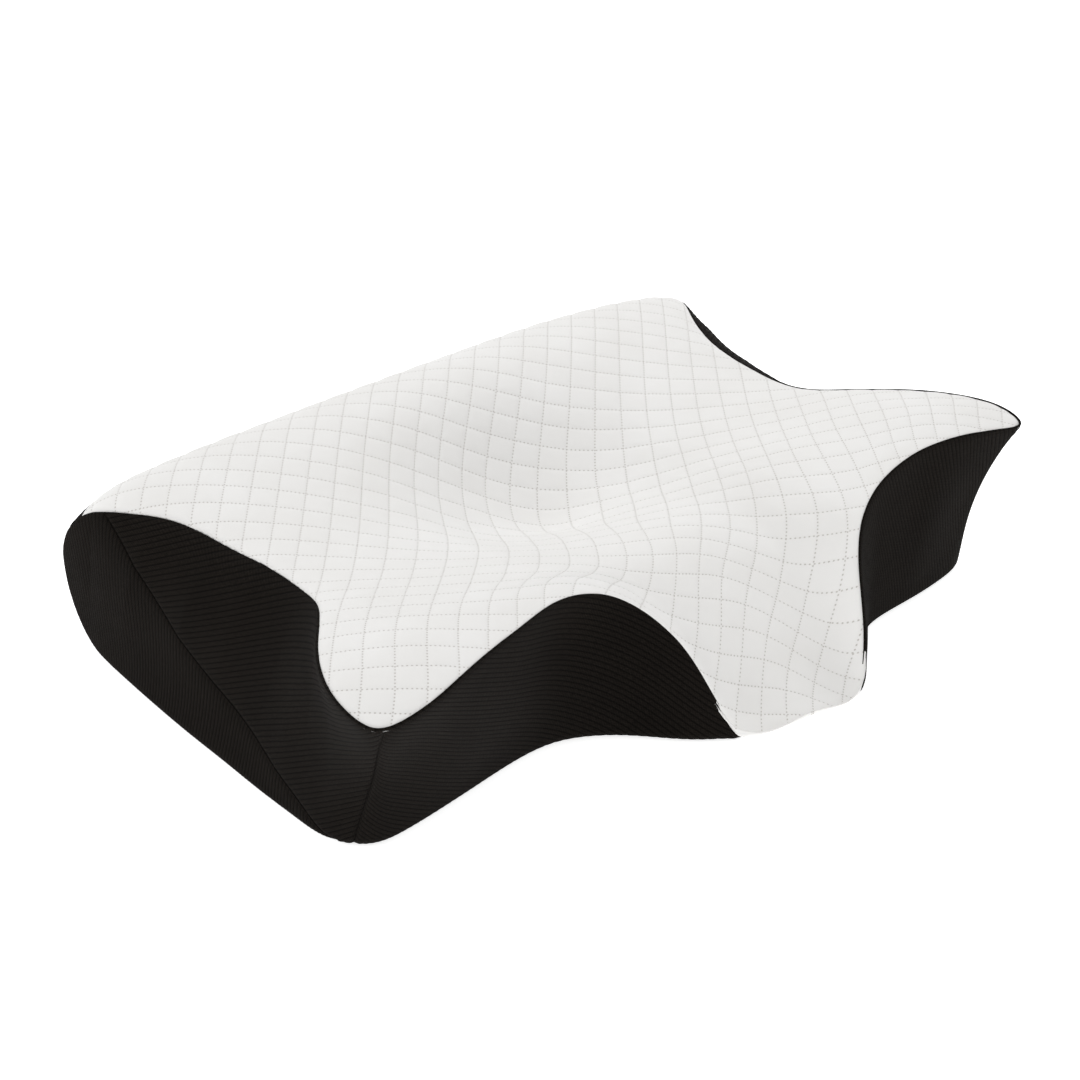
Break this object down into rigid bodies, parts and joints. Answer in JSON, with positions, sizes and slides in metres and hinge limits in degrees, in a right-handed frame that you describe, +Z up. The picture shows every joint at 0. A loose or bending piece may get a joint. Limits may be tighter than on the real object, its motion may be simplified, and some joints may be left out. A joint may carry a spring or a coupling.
{
  "type": "contoured memory-foam neck pillow",
  "caption": "Butterfly-shaped contoured foam neck pillow with a central head hollow, a sloping neck ramp, side wings and a zipped quilted cover.",
  "frame": {"origin": "centre of the underside of the whole part's box, on the surface it lies on", "axes": "+X along the back roll, +Y towards the back roll, +Z up"},
  "size_m": [0.5532, 0.4124, 0.1254],
  "materials": {
    "quilted_knit": "white quilted polyester knit, matte, dotted stitch lines",
    "black_knit": "near-black ribbed knit, matte",
    "foam": "moulded viscoelastic foam, fine open cells",
    "zip_tape": "woven black zipper tape",
    "zip_nylon": "black nylon coil",
    "zip_metal": "black enamelled zinc, soft gloss"
  },
  "bodies": {
    "root": {"cover_top_quilted": "quilted_knit", "cover_back_strip": "black_knit", "cover_base": "black_knit", "cover_end_right": "black_knit", "cover_end_left": "black_knit", "cover_front_right": "black_knit", "cover_front_left": "black_knit", "foam_core": "foam", "zip_tape_upper": "zip_tape", "zip_tape_lower": "zip_tape", "zip_coil_upper": "zip_nylon", "zip_coil_lower": "zip_nylon", "zip_stop_closed": "zip_metal", "zip_stop_open": "zip_metal"},
    "slider": {"zip_slider": "zip_metal"},
    "pull": {"zip_pull": "zip_metal"}
  },
  "joints": [
    {"name": "zip_slide", "type": "slide", "parent": "root", "child": "slider", "axis": [-1, 0, 0], "range_m": [0, 0.352]},
    {"name": "pull_flip", "type": "hinge", "parent": "slider", "child": "pull", "pos_m": [0.176, 0.2045, 0.056], "axis": [0, 0, 1], "range_deg": [-170, 0]}
  ]
}
